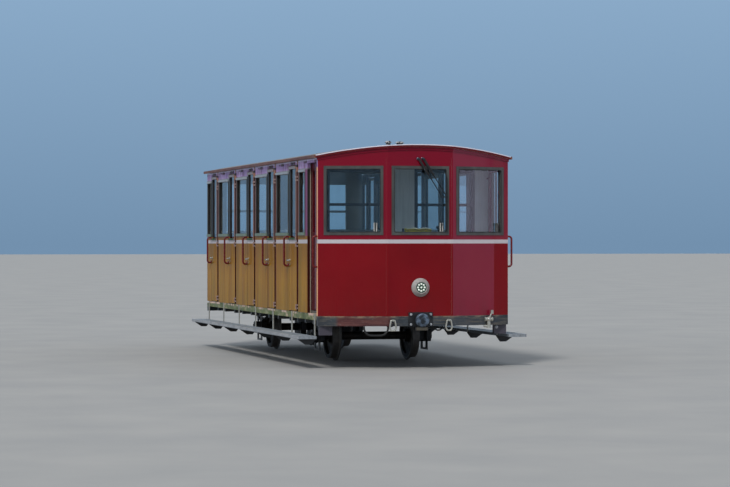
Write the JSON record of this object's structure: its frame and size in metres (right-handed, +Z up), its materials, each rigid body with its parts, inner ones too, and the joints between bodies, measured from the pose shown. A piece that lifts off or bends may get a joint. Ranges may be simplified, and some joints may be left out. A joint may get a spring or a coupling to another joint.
{
  "type": "rack railway coach",
  "caption": "Short two-axle mountain railway coach with a faceted observation end, hinged compartment doors, running boards and a brake pinion on its rear axle.",
  "frame": {"origin": "centre of the bounding box at the bottom of the wheel flanges", "axes": "+X forward to the observation end, +Y to the coach's left, +Z up"},
  "size_m": [7.452, 2.88, 2.7488],
  "materials": {
    "varnished_wood": "varnished vertical-grain boards",
    "red_paint": "deep gloss red",
    "wine_paint": "dark wine red",
    "fascia_paint": "muted mauve",
    "sill_paint": "dark grey",
    "roof_paint": "satin pale grey",
    "gutter_paint": "dull brown",
    "grey_frame": "dull grey",
    "window_glass": "clear",
    "interior_board": "painted grey",
    "floor_board": "worn sheet",
    "seat_cloth": "woven",
    "dark_plastic": "matt",
    "lamp_metal": "satin",
    "lamp_face": "dark lens",
    "black_metal": "satin black",
    "worn_steel": "worn",
    "fitting_steel": "weathered",
    "hose_rubber": "matt",
    "board_wood": "weathered",
    "rail_paint": "dark rust red"
  },
  "bodies": {
    "coach": {"underframe": "sill_paint", "axle_guards": "black_metal", "headstocks": "sill_paint", "floor": "floor_board", "front_end": "red_paint", "rear_end": "red_paint", "side_panels_right": "varnished_wood", "side_panels_left": "varnished_wood", "side_posts": "wine_paint", "cant_rails": "fascia_paint", "roof": "roof_paint", "roof_trim": "gutter_paint", "window_frames": "grey_frame", "fixed_glass": "window_glass", "cab_partition": "interior_board", "bench_frames": "interior_board", "bench_cushions": "seat_cloth", "cab_controls": "dark_plastic", "headlamp_bezel": "lamp_metal", "headlamp_face": "lamp_face", "wiper": "black_metal", "couplers": "black_metal", "end_fittings": "fitting_steel", "brake_hoses": "hose_rubber", "running_boards": "board_wood", "board_hangers": "fitting_steel", "axle_boxes": "black_metal", "leaf_springs": "black_metal", "brake_shoes": "black_metal", "air_tank": "black_metal", "corner_rails": "rail_paint", "grab_rails": "rail_paint"},
    "front_axle": {"front_wheelset": "worn_steel"},
    "rear_axle": {"rear_wheelset": "worn_steel", "brake_pinion": "worn_steel", "brake_drum": "worn_steel"},
    "right_cab_door": {"cab_door_right": "wine_paint", "cab_door_right_glass": "window_glass"},
    "right_door_1": {"door_right_1": "varnished_wood", "door_right_1_glass": "window_glass"},
    "right_door_2": {"door_right_2": "varnished_wood", "door_right_2_glass": "window_glass"},
    "right_door_3": {"door_right_3": "varnished_wood", "door_right_3_glass": "window_glass"},
    "right_door_4": {"door_right_4": "varnished_wood", "door_right_4_glass": "window_glass"},
    "right_door_5": {"door_right_5": "varnished_wood", "door_right_5_glass": "window_glass"},
    "left_cab_door": {"cab_door_left": "wine_paint", "cab_door_left_glass": "window_glass"},
    "left_door_1": {"door_left_1": "varnished_wood", "door_left_1_glass": "window_glass"},
    "left_door_2": {"door_left_2": "varnished_wood", "door_left_2_glass": "window_glass"},
    "left_door_3": {"door_left_3": "varnished_wood", "door_left_3_glass": "window_glass"},
    "left_door_4": {"door_left_4": "varnished_wood", "door_left_4_glass": "window_glass"},
    "left_door_5": {"door_left_5": "varnished_wood", "door_left_5_glass": "window_glass"}
  },
  "joints": [
    {"name": "front_axle_spin", "type": "hinge", "parent": "coach", "child": "front_axle", "pos_m": [1.305, 0, 0.318], "axis": [0, 1, 0], "continuous": true},
    {"name": "rear_axle_spin", "type": "hinge", "parent": "coach", "child": "rear_axle", "pos_m": [-2.17, 0, 0.318], "axis": [0, 1, 0], "continuous": true},
    {"name": "right_cab_door_hinge", "type": "hinge", "parent": "coach", "child": "right_cab_door", "pos_m": [2.773, -1.109, 0.69], "axis": [0, 0, 1], "range_deg": [0, 85]},
    {"name": "right_door_1_hinge", "type": "hinge", "parent": "coach", "child": "right_door_1", "pos_m": [2.212, -1.209, 0.67], "axis": [0, 0, 1], "range_deg": [0, 100]},
    {"name": "right_door_2_hinge", "type": "hinge", "parent": "coach", "child": "right_door_2", "pos_m": [0.948, -1.209, 0.67], "axis": [0, 0, 1], "range_deg": [0, 100]},
    {"name": "right_door_3_hinge", "type": "hinge", "parent": "coach", "child": "right_door_3", "pos_m": [-0.316, -1.209, 0.67], "axis": [0, 0, 1], "range_deg": [0, 100]},
    {"name": "right_door_4_hinge", "type": "hinge", "parent": "coach", "child": "right_door_4", "pos_m": [-1.58, -1.209, 0.67], "axis": [0, 0, 1], "range_deg": [0, 100]},
    {"name": "right_door_5_hinge", "type": "hinge", "parent": "coach", "child": "right_door_5", "pos_m": [-2.844, -1.209, 0.67], "axis": [0, 0, 1], "range_deg": [0, 100]},
    {"name": "left_cab_door_hinge", "type": "hinge", "parent": "coach", "child": "left_cab_door", "pos_m": [2.773, 1.109, 0.69], "axis": [0, 0, -1], "range_deg": [0, 85]},
    {"name": "left_door_1_hinge", "type": "hinge", "parent": "coach", "child": "left_door_1", "pos_m": [2.212, 1.209, 0.67], "axis": [0, 0, -1], "range_deg": [0, 100]},
    {"name": "left_door_2_hinge", "type": "hinge", "parent": "coach", "child": "left_door_2", "pos_m": [0.948, 1.209, 0.67], "axis": [0, 0, -1], "range_deg": [0, 100]},
    {"name": "left_door_3_hinge", "type": "hinge", "parent": "coach", "child": "left_door_3", "pos_m": [-0.316, 1.209, 0.67], "axis": [0, 0, -1], "range_deg": [0, 100]},
    {"name": "left_door_4_hinge", "type": "hinge", "parent": "coach", "child": "left_door_4", "pos_m": [-1.58, 1.209, 0.67], "axis": [0, 0, -1], "range_deg": [0, 100]},
    {"name": "left_door_5_hinge", "type": "hinge", "parent": "coach", "child": "left_door_5", "pos_m": [-2.844, 1.209, 0.67], "axis": [0, 0, -1], "range_deg": [0, 100]}
  ]
}
